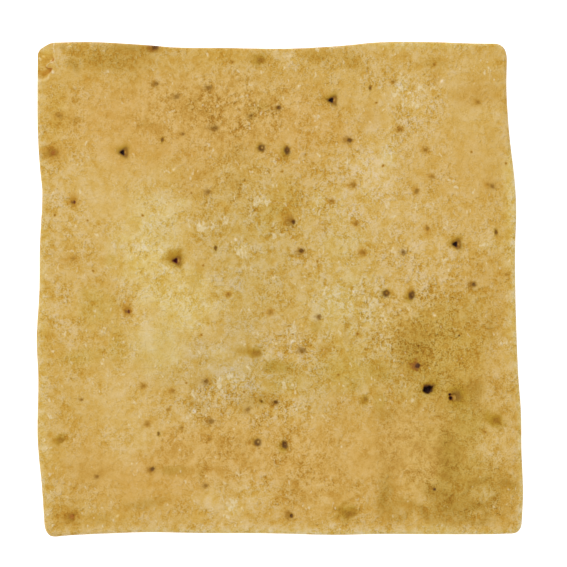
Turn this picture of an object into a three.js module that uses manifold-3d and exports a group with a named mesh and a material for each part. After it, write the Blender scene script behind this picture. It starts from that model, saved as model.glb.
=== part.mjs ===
// A square glazed clay wall tile with a handmade look, lying on its back with the glazed face up.
//
// The tile is one fired piece. Its outline is out of square and gently wavy, its face swells and dips
// a little, its top edge is softened all round, and its sides lean in towards a flat back. Glaze pits
// open in the face, and the left back corner of the face is chipped.
//
// Units are millimetres. +X is to the right across the face, +Y is up the face and +Z is out of it.
// The origin is the middle of the outline's box, on the flat back.

import * as THREE from "three";
import { mergeVertices } from "three/addons/utils/BufferGeometryUtils.js";
import Module from "manifold-3d";

// Driving dimensions.
const HALF = 50; // half of the nominal 100 mm side
const THICKNESS = 9; // back to the middle level of the face
const EDGE_INSET = 0.6; // how far in from the outline the softened top edge starts
const EDGE_DROP = 1.2; // how far down the softened top edge reaches
const PILLOW_DROP = 0.15; // how far the face has fallen where its softened edge starts
const PILLOW_START = 0.86; // share of the way out from the centre where that fall starts
const SIDE_LEAN = 0.6; // how far in the sides lean, from the widest line to the foot
const FOOT_CHAMFER = 0.4; // worn lower edge

// Mesh density.
const RINGS = 22; // rings of the face, from its centre to its softened edge
const CORNER_PULL = 0.55; // 0 spaces the points of a side evenly, more gathers them at its corners
const EDGE_PULL = 0.35; // the same for the rings, gathered at the edge
const PIT_SEGMENTS = 10;

// The corners that the sides would meet in if they were straight and sharp, and how far along the
// side before and the side after each corner is rounded off. bluntness is 1 for a round corner that
// follows the sharp one, and less for a corner that is cut off straighter.
const CORNERS = {
  frontLeft: { at: [-48.6, -51.2], before: 2.7, after: 1.8, bluntness: 0.9 },
  frontRight: { at: [50.5, -50.9], before: 2.6, after: 3.6, bluntness: 0.9 },
  backRight: { at: [47.1, 51.2], before: 3.6, after: 3.0, bluntness: 1 },
  backLeft: { at: [-50.3, 51.2], before: 3.0, after: 1.8, bluntness: 0.12 },
};

// Each side's wave: how far out of the straight line from corner to corner it stands, at shares of
// the way along it. The sides run anticlockwise, seen from above.
const SIDES = [
  {
    name: "front",
    from: "frontLeft",
    to: "frontRight",
    wave: [
      [0.02, 0.05], [0.06, -0.3], [0.13, -0.6], [0.22, -0.85], [0.33, -0.62], [0.46, -0.55],
      [0.6, -0.18], [0.7, -0.32], [0.8, -0.25], [0.92, -0.2], [0.965, -0.35],
    ],
  },
  {
    name: "right",
    from: "frontRight",
    to: "backRight",
    wave: [
      [0.04, -0.15], [0.09, 0.28], [0.17, 0.22], [0.25, 0.38], [0.34, 0.05], [0.48, 0.04],
      [0.58, 0.3], [0.66, 0.8], [0.73, 0.6], [0.81, -0.1], [0.9, -0.4], [0.975, -0.1],
    ],
  },
  {
    name: "back",
    from: "backRight",
    to: "backLeft",
    wave: [
      [0.025, -0.22], [0.08, -0.15], [0.17, 0.15], [0.27, 0.08], [0.36, -0.72], [0.47, -1.25],
      [0.6, -1.1], [0.7, -1.02], [0.77, -0.48], [0.88, 0.12], [0.965, -0.02],
    ],
  },
  {
    name: "left",
    from: "backLeft",
    to: "frontLeft",
    wave: [
      [0.02, -0.18], [0.09, 0.04], [0.18, 0.14], [0.25, -0.15], [0.31, -0.58], [0.41, 0.1],
      [0.5, 0.35], [0.6, 1.08], [0.68, 0.88], [0.8, 1.22], [0.9, 0.5], [0.97, 0.12],
    ],
  },
];

// Broad swells and dips of the face: centre x, centre y, reach and height.
const SWELLS = [
  [-20, 22, 17, 0.2],
  [-14, -14, 20, -0.24],
  [24, 24, 18, 0.16],
  [30, -24, 15, -0.2],
  [2, -40, 14, 0.14],
  [6, 44, 12, -0.12],
  [-42, -34, 11, 0.1],
];

// Glaze pits with a real opening: centre x, centre y, radius of the lip, radius of the throat, depth.
const PITS = [
  [30.5, -20.7, 1.35, 0.8, 2.6],
  [-32.5, 28.4, 1.05, 0.58, 2.2],
  [10.7, 39.2, 1.05, 0.58, 2.2],
  [-21.5, 6.0, 1.05, 0.58, 2.2],
  [36.4, 9.4, 1.05, 0.58, 2.2],
  [35.9, -22.3, 1.1, 0.5, 1.8],
  [28.1, -15.8, 0.9, 0.45, 1.4],
  [-3.9, 29.3, 0.65, 0.42, 1.1],
  [1.4, 28.9, 0.65, 0.42, 1.2],
  [-4.7, -31.7, 0.65, 0.42, 1.1],
  [0.9, -32.0, 0.65, 0.42, 1.2],
  [21.9, -0.8, 0.65, 0.42, 1.1],
  [27.2, -1.1, 0.65, 0.42, 1.2],
  [2.6, 14.0, 0.75, 0.4, 1.1],
  [4.4, 7.9, 0.65, 0.4, 1.1],
  [14.3, 30.9, 0.7, 0.4, 1.0],
  [-42.6, 18.1, 0.7, 0.38, 1.0],
  [-31.5, -4.5, 0.7, 0.38, 1.0],
  [40.0, 1.0, 0.65, 0.38, 1.0],
  [28.2, 20.4, 0.6, 0.36, 0.9],
  [2.1, -46.8, 0.7, 0.38, 1.0],
  [-26.5, -37.2, 0.65, 0.36, 0.9],
];

// The chip: a shallow shell-shaped break in the left back corner of the face, glazed over. It reaches
// this far across and down the face from the corner, and this far under the middle level of the face.
const CHIP = { across: 3.5, down: 7.6, deep: 0.85 };

const wasm = await Module();
wasm.setup();

const glazedClay = new THREE.MeshStandardMaterial({
  name: "ochre_glaze",
  color: "#cda762",
  roughness: 0.45,
  metalness: 0,
});

// The point of a side that is `share` of the way from its first sharp corner to its second, and
// `out` millimetres outside the straight line between them.
function pointBesideLine(side, share, out) {
  const start = new THREE.Vector2(...CORNERS[side.from].at);
  const along = new THREE.Vector2(...CORNERS[side.to].at).sub(start);
  const outward = new THREE.Vector2(along.y, -along.x).normalize();
  return start.addScaledVector(along, share).addScaledVector(outward, out);
}

// A side's smooth curve, from where its first corner's rounding ends to where its second's starts.
function sideCurve(side) {
  const first = CORNERS[side.from];
  const last = CORNERS[side.to];
  const length = pointBesideLine(side, 0, 0).distanceTo(pointBesideLine(side, 1, 0));
  const start = [first.after / length, side.wave[0][1]];
  const end = [1 - last.before / length, side.wave.at(-1)[1]];
  const between = side.wave.filter(([share]) => share > start[0] + 0.01 && share < end[0] - 0.01);
  const through = [start, ...between, end].map(([share, out]) => pointBesideLine(side, share, out));
  return new THREE.SplineCurve(through);
}

// The rounded corner between two side curves. Its handle lies where the two straight sides meet.
function cornerCurve(corner, before, after) {
  const start = before.getPoint(1);
  const end = after.getPoint(0);
  const middle = start.clone().lerp(end, 0.5);
  const handle = middle.lerp(new THREE.Vector2(...corner.at), corner.bluntness);
  return new THREE.QuadraticBezierCurve(start, handle, end);
}

// The whole outline as a closed path, with the distance along it of the middle of each corner.
function makeOutline() {
  const sides = SIDES.map(sideCurve);
  const path = new THREE.CurvePath();
  const cornerMiddles = [];
  let walked = 0;
  SIDES.forEach((side, i) => {
    const corner = cornerCurve(CORNERS[side.from], sides.at(i - 1), sides[i]);
    cornerMiddles.push(walked + corner.getLength() / 2);
    path.add(corner);
    path.add(sides[i]);
    walked += corner.getLength() + sides[i].getLength();
  });
  cornerMiddles.push(walked + cornerMiddles[0]);
  return { path, length: walked, cornerMiddles };
}

const outline = makeOutline();

// The outline's point `share` of the way along side number `index`, from the middle of one corner to
// the middle of the next.
function outlinePoint(index, share) {
  const gathered = share - (CORNER_PULL * Math.sin(2 * Math.PI * share)) / (2 * Math.PI);
  const [start, end] = outline.cornerMiddles.slice(index, index + 2);
  const distance = THREE.MathUtils.lerp(start, end, gathered);
  return outline.path.getPointAt((distance / outline.length) % 1);
}

// The height of the face over (x, y), without its softened edge.
function faceHeight(x, y) {
  const swell = SWELLS.reduce((sum, [cx, cy, reach, height]) => {
    const distance = Math.hypot(x - cx, y - cy) / reach;
    return sum + height * Math.exp(-distance * distance);
  }, 0);
  const way = Math.max(Math.abs(x), Math.abs(y)) / HALF;
  const fall = THREE.MathUtils.smoothstep(way, PILLOW_START, 1);
  return THICKNESS + swell - PILLOW_DROP * fall;
}

// The rings below the face, from its softened edge down to the back: how far in from the outline each
// lies, and its height where the face above it is `top` millimetres high.
const EDGE_RINGS = [
  ...[30, 60, 90].map((degrees) => {
    const turn = THREE.MathUtils.degToRad(degrees);
    const inset = EDGE_INSET * (1 - Math.sin(turn));
    return { inset, height: (top) => top - EDGE_DROP * (1 - Math.cos(turn)) };
  }),
  { inset: SIDE_LEAN, height: () => FOOT_CHAMFER },
  { inset: SIDE_LEAN + FOOT_CHAMFER, height: () => 0 },
];

// The outline's points for a ring of 8 * steps vertices, drawn in towards the centre by `scale`.
function ringPoints(steps, scale) {
  const perSide = 2 * steps;
  return SIDES.flatMap((side, index) =>
    Array.from({ length: perSide }, (_, n) => outlinePoint(index, n / perSide).multiplyScalar(scale)),
  );
}

// The two triangles between four corners, given anticlockwise.
function quad(a, b, c, d) {
  return [a, b, c, a, c, d];
}

// The triangles of the band between ring `steps - 1` and ring `steps` of the face. Each side of the
// outer ring has two more points than the same side of the inner ring, so a corner takes a square.
function faceBand(innerStart, outerStart, steps) {
  const innerCount = Math.max(1, 8 * (steps - 1));
  const outerCount = 8 * steps;
  const inner = (n) => innerStart + (((n % innerCount) + innerCount) % innerCount);
  const outer = (n) => outerStart + (((n % outerCount) + outerCount) % outerCount);
  const innerPerSide = 2 * (steps - 1);
  const triangles = [];
  for (let side = 0; side < 4; side += 1) {
    const corner = side * 2 * steps;
    const innerCorner = side * innerPerSide;
    triangles.push(...quad(outer(corner - 1), outer(corner), outer(corner + 1), inner(innerCorner)));
    for (let n = 0; n < innerPerSide; n += 1) {
      const [outerHere, outerNext] = [outer(corner + 1 + n), outer(corner + 2 + n)];
      const [innerHere, innerNext] = [inner(innerCorner + n), inner(innerCorner + n + 1)];
      triangles.push(...quad(outerHere, outerNext, innerNext, innerHere));
    }
  }
  return triangles;
}

// The triangles between two rings of the same count, the first one above or inside the second.
function wallBand(upperStart, lowerStart, count) {
  const triangles = [];
  for (let n = 0; n < count; n += 1) {
    const next = (n + 1) % count;
    triangles.push(...quad(lowerStart + n, lowerStart + next, upperStart + next, upperStart + n));
  }
  return triangles;
}

// The tile without its pits and chip, as one closed geometry.
function blankTile() {
  const vertices = [];
  const triangles = [];
  const addRing = (points, heightOf) => {
    const start = vertices.length;
    points.forEach((p) => vertices.push([p.x, p.y, heightOf(p)]));
    return start;
  };
  const onFace = (p) => faceHeight(p.x, p.y);
  const faceEdge = 1 - EDGE_INSET / HALF;

  let inner = addRing([new THREE.Vector2(0, 0)], onFace);
  for (let steps = 1; steps <= RINGS; steps += 1) {
    const share = steps / RINGS;
    const gathered = share + (EDGE_PULL * Math.sin(Math.PI * share)) / Math.PI;
    const outer = addRing(ringPoints(steps, faceEdge * gathered), onFace);
    triangles.push(...faceBand(inner, outer, steps));
    inner = outer;
  }

  const count = 8 * RINGS;
  for (const ring of EDGE_RINGS) {
    const points = ringPoints(RINGS, 1 - ring.inset / HALF);
    const outer = addRing(points, (p) => ring.height(onFace(p)));
    triangles.push(...wallBand(inner, outer, count));
    inner = outer;
  }

  const foot = vertices.slice(inner).map(([x, y]) => new THREE.Vector2(x, y));
  THREE.ShapeUtils.triangulateShape(foot, []).forEach(([a, b, c]) => {
    triangles.push(inner + c, inner + b, inner + a);
  });

  const geometry = new THREE.BufferGeometry();
  geometry.setAttribute("position", new THREE.Float32BufferAttribute(vertices.flat(), 3));
  geometry.setIndex(triangles);
  return geometry;
}

// What is taken out for a pit: a flared lip over a throat with a rounded bottom.
function pitCutter([x, y, lip, throat, depth]) {
  const above = 0.6;
  const lipDepth = 0.3 * depth;
  const profile = [
    [0, -depth],
    [0.6 * throat, -0.92 * depth],
    [throat, -0.65 * depth],
    [throat, -lipDepth],
    [lip, 0],
    [lip, above],
    [0, above],
  ];
  const cutter = new THREE.LatheGeometry(profile.map(([r, z]) => new THREE.Vector2(r, z)), PIT_SEGMENTS);
  cutter.rotateX(Math.PI / 2);
  cutter.translate(x, y, faceHeight(x, y));
  return cutter;
}

// What is taken out for the chip: a flattened ball centred on the left back corner.
function chipCutter() {
  const ball = new THREE.SphereGeometry(1, 24, 12);
  ball.rotateX(Math.PI / 2);
  ball.scale(CHIP.across, CHIP.down, CHIP.deep);
  ball.translate(...CORNERS.backLeft.at, THICKNESS);
  return ball;
}

// A closed geometry as a manifold-3d solid.
function solid(geometry) {
  const plain = geometry.clone();
  plain.deleteAttribute("normal");
  plain.deleteAttribute("uv");
  const merged = mergeVertices(plain, 1e-4);
  return new wasm.Manifold(
    new wasm.Mesh({
      numProp: 3,
      vertProperties: merged.attributes.position.array,
      triVerts: Uint32Array.from(merged.index.array),
    }),
  );
}

// A manifold-3d solid as a geometry whose box stands centred on the origin.
function centredGeometry(body) {
  const mesh = body.getMesh();
  const geometry = new THREE.BufferGeometry();
  geometry.setAttribute("position", new THREE.Float32BufferAttribute(mesh.vertProperties, 3));
  geometry.setIndex([...mesh.triVerts]);
  geometry.computeBoundingBox();
  const { min, max } = geometry.boundingBox;
  geometry.translate(-(min.x + max.x) / 2, -(min.y + max.y) / 2, -min.z);
  geometry.computeVertexNormals();
  return geometry;
}

function makeTile() {
  const cutters = [...PITS.map(pitCutter), chipCutter()];
  const body = cutters.reduce((left, cutter) => left.subtract(solid(cutter)), solid(blankTile()));
  const tile = new THREE.Mesh(centredGeometry(body), glazedClay);
  tile.name = "tile";
  return tile;
}

const group = new THREE.Group();
group.add(makeTile());

export default group;
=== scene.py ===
"""Looks of the glazed wall tile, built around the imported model.

Two pieces stand for the one CAD node: the glaze coat, which is the whole upper part of the tile and
ends in drips down its sides, and the bare clay body under it. They meet along one flat hidden seam.

Lengths are millimetres up to the point where a mesh is made, and metres after that. +X is to the
right across the face, +Y is up the face and +Z is out of it.
"""

import math
from functools import partial, reduce
from typing import NamedTuple

import bmesh
import bpy
import numpy as np
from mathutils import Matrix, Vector


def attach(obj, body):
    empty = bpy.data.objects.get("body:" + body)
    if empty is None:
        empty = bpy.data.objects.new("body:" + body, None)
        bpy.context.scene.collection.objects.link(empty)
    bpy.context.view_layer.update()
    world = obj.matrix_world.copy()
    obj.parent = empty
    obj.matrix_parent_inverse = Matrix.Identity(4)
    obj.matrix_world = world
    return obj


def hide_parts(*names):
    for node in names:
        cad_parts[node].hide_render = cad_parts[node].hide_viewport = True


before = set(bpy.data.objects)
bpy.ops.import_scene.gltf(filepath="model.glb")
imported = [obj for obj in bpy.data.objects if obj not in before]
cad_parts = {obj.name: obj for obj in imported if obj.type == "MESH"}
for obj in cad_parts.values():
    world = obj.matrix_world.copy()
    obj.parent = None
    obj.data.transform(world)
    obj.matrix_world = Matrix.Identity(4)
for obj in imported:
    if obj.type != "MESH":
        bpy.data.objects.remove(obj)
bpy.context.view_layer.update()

MM = 0.001

# ======== Sizes ========
#
# The outline is read from the CAD node, and the other driving sizes repeat those of the CAD. The rest
# is how the surface departs from the CAD, within fractions of a millimetre.

HALF = 50.0  # half of the nominal side
FACE = 9.0  # middle level of the face
EDGE_INSET = 0.6  # how far in from the outline the softened top edge starts
EDGE_DROP = 1.2  # how far down the softened top edge reaches
PILLOW_DROP = 0.15  # how far the face has fallen where its softened edge starts
PILLOW_START = 0.86  # share of the way out from the centre where that fall starts
WIDEST = FACE - PILLOW_DROP - EDGE_DROP  # height of the outline's widest line
SIDE_LEAN = 0.6  # how far in the sides lean, from the widest line to the foot
FOOT_CHAMFER = 0.4  # worn lower edge
SEAM = 6.0  # height of the hidden flat seam between glaze coat and clay body
GLAZE_THICKNESS = 0.32  # of the glaze that hangs down the clay sides
DRIP_MIDDLE = 4.2  # middle height of the glaze's lower edge
DRIP_REACH = 1.5  # how far that edge wanders up and down

FACE_RINGS = 107  # rings of the glazed face
BACK_RINGS = 60  # rings of the clay back
FINE_MARGINS = (0.5, 0.2)  # the mesh is twice as fine this near a pit or crystal, and again this near
CHIP_MARGINS = (0.8, 0.0)  # the same beyond the chip

# Broad swells and dips of the face, as in the CAD: centre x, centre y, reach and height.
SWELLS = [
    (-20, 22, 17, 0.2),
    (-14, -14, 20, -0.24),
    (24, 24, 18, 0.16),
    (30, -24, 15, -0.2),
    (2, -40, 14, 0.14),
    (6, 44, 12, -0.12),
    (-42, -34, 11, 0.1),
]

SLOW_WAVE, QUICK_WAVE = 0.05, 0.04  # height of the face's finer unevenness
RIPPLE_HEIGHT = 0.01
FLARE_SHARE = 0.2  # of a pit's depth, made by its flared lip; its throat makes the rest
PIT_INFLUENCE = 3.0  # reaches from a pit beyond which it changes nothing


class PitColour(NamedTuple):
    """A colour laid round a pit, in millimetres before the pit's own size scales it: mostly a stain, but
    partly painted shade in the throats of holes, and painted shade and light in the deep, wine and open
    pits.
    """

    colour: str
    reach: float
    share: float  # of this colour, from 0 to 1
    across: float = 0.0  # shift from the pit's centre
    along: float = 0.0


class PitKind(NamedTuple):
    """A kind of pit, in millimetres before a pit's own size scales it. Its colours round the pit, each
    written as the values of the class above, are laid over each other in their order: stains, and in some
    kinds painted shade and painted light."""

    lip: float  # radius where the flared lip starts
    throat: float  # radius of the steep throat
    depth: float
    pit_colours: tuple
    shift: float = 0.0  # how far across the throat lies from the pit's centre
    rim: float = 0.0  # height of the low swelling round the lip
    long: float = 1.0  # how much longer the pit is than wide
    lobes: float = 0.4  # how far its outline departs from an oval
    star: float = 0.0  # how far its outline is drawn out into three points


PIT_KINDS = {
    "burst": PitKind(1.15, 0.85, 1.2, (
        ("bronze", 1.9, 1.0, 0.5, 0.4), ("umber", 1.1, 0.85, 0.2, 0.15), ("ink_and_shade", 0.95, 1.0),
    ), rim=0.04, long=0.78),
    # In the deep and wine pits the dark core lies on the left, the side of the throat away from the light,
    # and the rust and tan on the right stand for its lit wall: painted shade and painted light over the
    # glaze's own brown.
    "deep": PitKind(1.05, 0.42, 0.8, (
        ("bronze", 1.4, 0.9, 0.0, 0.35), ("umber", 0.9, 0.7, 0.15), ("rust", 0.7, 0.9, 0.25),
        ("tan", 0.22, 0.5, 0.42, 0.05), ("ink_and_shade", 0.5, 1.0, -0.2),
    ), shift=-0.2, rim=0.04, lobes=0.15, star=0.2),
    "wine": PitKind(1.05, 0.42, 0.8, (
        ("bronze", 1.8, 1.0, -0.3, 0.5), ("umber", 0.9, 0.6, 0.15), ("rust", 0.7, 0.9, 0.25),
        ("tan", 0.24, 0.6, 0.42, 0.05), ("wine", 0.52, 1.0, -0.2),
    ), shift=-0.2, rim=0.04, lobes=0.15, star=0.2),
    # In the open pit the brown to the right and back of the throat is painted shadow.
    "open": PitKind(1.15, 0.9, 0.3, (
        ("bronze", 2.0, 1.0, 0.6, 0.3), ("brown", 1.0, 0.65, 0.55, 0.25), ("tan", 0.45, 0.7, 0.1),
    ), rim=0.03, long=1.1, lobes=0.2),
    "well": PitKind(0.36, 0.28, 0.5, (("plum", 0.45, 0.9), ("ink_and_shade", 0.27, 1.0)), lobes=0.2),
    "sunk": PitKind(1.0, 0.6, 0.02, (
        ("bronze", 1.7, 0.9, -0.4, 0.2), ("sienna", 1.05, 0.8, -0.1, 0.1), ("brown", 1.0, 0.6, 0.0, 0.1),
        ("plum", 0.5, 0.9, 0.35), ("umber", 0.55, 0.9, 0.35, 0.1),
    ), shift=0.3),
    "ring": PitKind(0.75, 0.5, 0.12, (
        ("bronze", 1.0, 0.6, -0.4, 0.15), ("umber", 0.72, 0.85), ("cocoa", 0.34, 0.8, 0.1, 0.1),
        ("pale", 0.16, 0.5, 0.1, 0.12),
    ), rim=0.02, lobes=0.15),
    "oval": PitKind(0.7, 0.4, 0.12, (
        ("bronze", 1.0, 0.9, -0.45, -0.25), ("umber", 0.62, 0.85), ("rust", 0.2, 0.6, 0.1, 0.1),
    ), rim=0.02, long=1.4, lobes=0.2),
    "side": PitKind(0.85, 0.5, 0.2, (
        ("rust", 1.2, 0.9, -0.5, 0.3), ("umber", 0.5, 0.8, 0.3),
    ), shift=0.3, rim=0.02, long=1.1),
    "twin": PitKind(0.8, 0.3, 0.1, (
        ("ginger", 1.3, 1.0, -0.15, 0.35), ("rust", 0.8, 0.5, -0.1, 0.1), ("plum", 0.33, 0.85, 0.1),
        ("brown", 0.25, 0.8, -0.5),
    ), shift=0.1, rim=0.02, long=1.4, lobes=0.2),
    "spot": PitKind(0.65, 0.4, 0.15, (
        ("rust", 0.95, 0.75, -0.35, -0.1), ("umber", 0.5, 0.65),
    ), rim=0.01, long=0.85),
    "soft": PitKind(0.6, 0.35, 0.06, (("ginger", 0.9, 0.8, -0.1), ("brown", 0.45, 0.5)), long=1.2),
    "smudge": PitKind(0.8, 0.35, 0.05, (
        ("cocoa", 1.15, 0.7, -0.3, 0.05), ("brown", 0.6, 0.5, 0.0, 0.05),
    ), long=0.8),
    "shade": PitKind(0.6, 0.35, 0.06, (
        ("slate", 0.85, 0.7, -0.15, 0.05), ("brown", 0.45, 0.65),
    ), lobes=0.6),
    "rust": PitKind(0.7, 0.3, 0.03, (
        ("ginger", 1.1, 0.75, -0.2, 0.05), ("cocoa", 0.7, 0.7, -0.05), ("rust", 0.3, 0.5),
    ), long=0.85),
    "slit": PitKind(0.4, 0.22, 0.06, (("bronze", 0.45, 0.8), ("brown", 0.28, 0.9)), long=1.7),
    "speck": PitKind(0.35, 0.2, 0.05, (("brown", 0.32, 0.9), ("umber", 0.22, 0.9))),
    "mote": PitKind(0.35, 0.2, 0.03, (("ginger", 0.4, 0.6), ("rust", 0.27, 0.9))),
    "stain": PitKind(1.4, 0.4, 0.08, (
        ("ginger", 1.5, 0.5, -0.3, 0.2), ("bronze", 1.8, 0.7, -0.3, 0.3), ("rust", 0.95, 0.75),
    ), long=0.75),
    "ember": PitKind(1.3, 0.4, 0.08, (
        ("ginger", 2.0, 1.0, -0.3, 0.1), ("rust", 1.3, 0.5, -0.1, 0.1), ("rust", 0.85, 0.85, 0.1),
        ("sienna", 0.5, 0.6, 0.15),
    ), long=0.8),
    "blot": PitKind(1.3, 0.4, 0.08, (("bronze", 1.6, 0.9, -0.2, 0.2), ("rust", 0.7, 0.5, 0.1)), long=0.7),
}


class Pit(NamedTuple):
    """One pit of the face: its kind, centre, size and turn in degrees."""

    kind: str
    x: float
    y: float
    size: float
    turn: float = 0.0


# The pits of the face, apart from the motes. Later ones are laid over earlier ones.
PITS = [Pit(*row) for row in (
    ("burst", 30.6, -20.8, 1.05, 25), ("deep", 36.5, 9.3, 1.0), ("deep", 10.8, 39.1, 1.0),
    ("deep", -32.4, 28.3, 1.0), ("wine", -21.4, 5.9, 1.0), ("open", 35.9, -22.4, 1.1),
    ("well", 35.15, -21.8, 0.75), ("well", 35.35, -22.55, 1.05), ("sunk", 28.2, -15.9, 0.9),
    ("ring", 22.0, -0.9, 1.0), ("ring", -3.8, 29.2, 1.05), ("ring", -4.6, -31.7, 1.05),
    ("oval", 27.3, -1.3, 1.0, -8), ("oval", 1.5, 28.7, 1.0), ("oval", 1.0, -32.2, 1.0, 5),
    ("side", 2.6, 13.9, 0.8), ("side", 2.2, -46.9, 0.75), ("twin", -42.6, 18.0, 0.8),
    ("twin", -31.4, -4.6, 0.9), ("spot", 4.5, 7.9, 1.05), ("spot", -0.8, -23.4, 0.9),
    ("spot", -0.2, 37.5, 0.85), ("spot", 40.1, 1.0, 1.0), ("spot", -26.4, -37.2, 1.0, 15),
    ("spot", 14.4, 30.8, 1.05, -20), ("soft", 28.3, 20.3, 1.0, 15), ("soft", 30.5, 12.6, 0.9, 10),
    ("shade", 25.6, 7.6, 0.9), ("shade", 8.1, -5.7, 0.9, 60), ("smudge", -14.2, -27.4, 0.95),
    ("smudge", 4.7, -12.7, 1.0), ("smudge", -14.7, 41.6, 0.9), ("smudge", -13.4, 33.3, 1.1),
    ("smudge", -14.8, 20.1, 0.8), ("smudge", -15.3, -40.7, 0.7), ("smudge", -25.6, 42.5, 0.8, 5),
    ("shade", -15.3, -19.1, 1.0, 60), ("smudge", -21.3, 39.8, 0.85, 10), ("smudge", -6.0, 35.9, 0.7, 30),
    ("smudge", -6.6, -24.9, 0.7, 60), ("smudge", 44.0, 21.2, 0.75, -30), ("smudge", -20.0, 32.1, 0.5),
    ("smudge", -41.0, -22.9, 0.45), ("slit", -3.8, -23.2, 0.8, 50), ("rust", 17.2, 7.6, 1.0),
    ("rust", -10.6, -1.1, 0.75), ("rust", 15.2, 21.6, 1.05), ("rust", -1.9, -4.8, 0.9),
    ("rust", 30.2, 28.8, 0.95), ("rust", 15.8, 13.6, 0.85), ("rust", 46.9, 3.0, 0.45),
    ("rust", 24.9, 33.1, 0.9), ("rust", -27.4, -27.9, 0.95), ("rust", 10.8, 18.2, 0.8),
    ("rust", -22.2, -21.1, 0.75), ("rust", 43.1, 21.7, 0.5), ("rust", -20.3, -28.7, 0.6),
    ("rust", 23.5, 42.9, 0.7), ("slit", -25.1, -29.9, 0.9), ("slit", 18.7, 41.6, 0.9),
    ("slit", -24.3, 30.9, 1.0, -10), ("slit", -13.3, 8.5, 1.15), ("slit", 44.7, 11.8, 1.2),
    ("speck", 32.0, -41.4, 1.1), ("rust", -23.0, -24.9, 0.5), ("rust", -42.8, 6.4, 0.6),
    ("speck", 37.1, -9.6, 0.6), ("stain", -4.1, 47.3, 0.9), ("ember", -43.2, -47.1, 1.0, 30),
    ("stain", 14.2, -46.5, 1.3), ("blot", 44.7, -27.3, 1.35, -20), ("stain", -45.3, -31.2, 0.8, 30),
    ("stain", -4.8, -13.3, 1.0), ("stain", 17.7, -22.8, 0.65, 80), ("ember", -47.1, 28.2, 1.0),
    ("rust", -45.6, 35.9, 1.1), ("smudge", -37.8, -38.8, 0.6, 30), ("rust", 41.0, 38.7, 0.75),
    ("rust", -28.2, -20.0, 0.9), ("spot", -25.8, 50.1, 1.3), ("rust", -14.5, -31.0, 0.6),
    ("rust", 32.0, 46.4, 0.45), ("rust", 31.5, 23.3, 0.8), ("rust", -9.8, 47.0, 0.5),
)]

MOTE_COUNT = 18  # of the smallest pits, scattered between the others
MOTE_SIZE = 0.8
MOTE_GAP = 3.0  # between a mote and any other pit

# The chip in the left back corner of the face, as in the CAD.
CHIP_CENTRE = (-50.3, 51.2)
CHIP_ACROSS, CHIP_DOWN, CHIP_DEEP = 3.5, 7.6, 0.85
CHIP_TONGUE = (-47.7, 46.4, 0.9, 0.6, 20)  # where the face reaches into it
CHIP_ROUGHNESS = 0.06
CHIP_RIDGE = (1.03, 0.05, 0.06)  # round it: where in chip_share, width in chip_share and height

# ======== Colours ========
#
# Colours of the fired glaze as the eye sees them, as red, green and blue from 0 to 255.

GLAZE_COLOURS = {
    "ochre": (204, 167, 91),
    "terra": (205, 161, 84),
    "tan": (198, 157, 80),
    "bark": (186, 145, 62),
    "honey": (201, 160, 74),
    "amber": (190, 149, 63),
    "treacle": (173, 133, 50),
    "brown": (118, 80, 26),
    "bronze": (172, 131, 36),
    "olive": (185, 150, 62),
    "moss": (196, 162, 75),
    "pale": (210, 176, 106),
    "peach": (216, 185, 121),
    "butter": (215, 188, 117),
    "sage": (208, 181, 112),
    "khaki": (201, 170, 99),
    "grey": (201, 174, 114),
    "mist": (214, 190, 130),
    "cream": (226, 201, 148),
    "ginger": (188, 139, 50),
    "slate": (162, 128, 68),
    "cocoa": (164, 122, 50),
    "rust": (154, 107, 30),
    "sienna": (172, 100, 40),
    "umber": (84, 54, 20),
    "plum": (98, 50, 24),
    "wine": (84, 32, 32),
    # The dark in the throats of the burst, deep and well pits: partly painted shade.
    "ink_and_shade": (56, 36, 30),
}
SHEEN = 0.012  # the soft light's reflection adds this much to a light colour, so it is taken off first
DARK_SHARE = 0.5  # dark colours lose all but this share of themselves instead
CRISP_COLOURS = ("ink_and_shade", "plum", "wine")  # stains of these have a sharper edge than the others
CRISP, SOFT = 6.0, 3.5  # how sharp the two kinds of edge are


class Patch(NamedTuple):
    """A soft oval of colour on the face: its colour, centre, reaches, strength and turn in degrees."""

    colour: str
    x: float
    y: float
    across: float
    along: float
    strength: float
    turn: float = 0.0

    @property
    def oval(self):
        return self.x, self.y, self.across, self.along, self.turn


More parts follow.
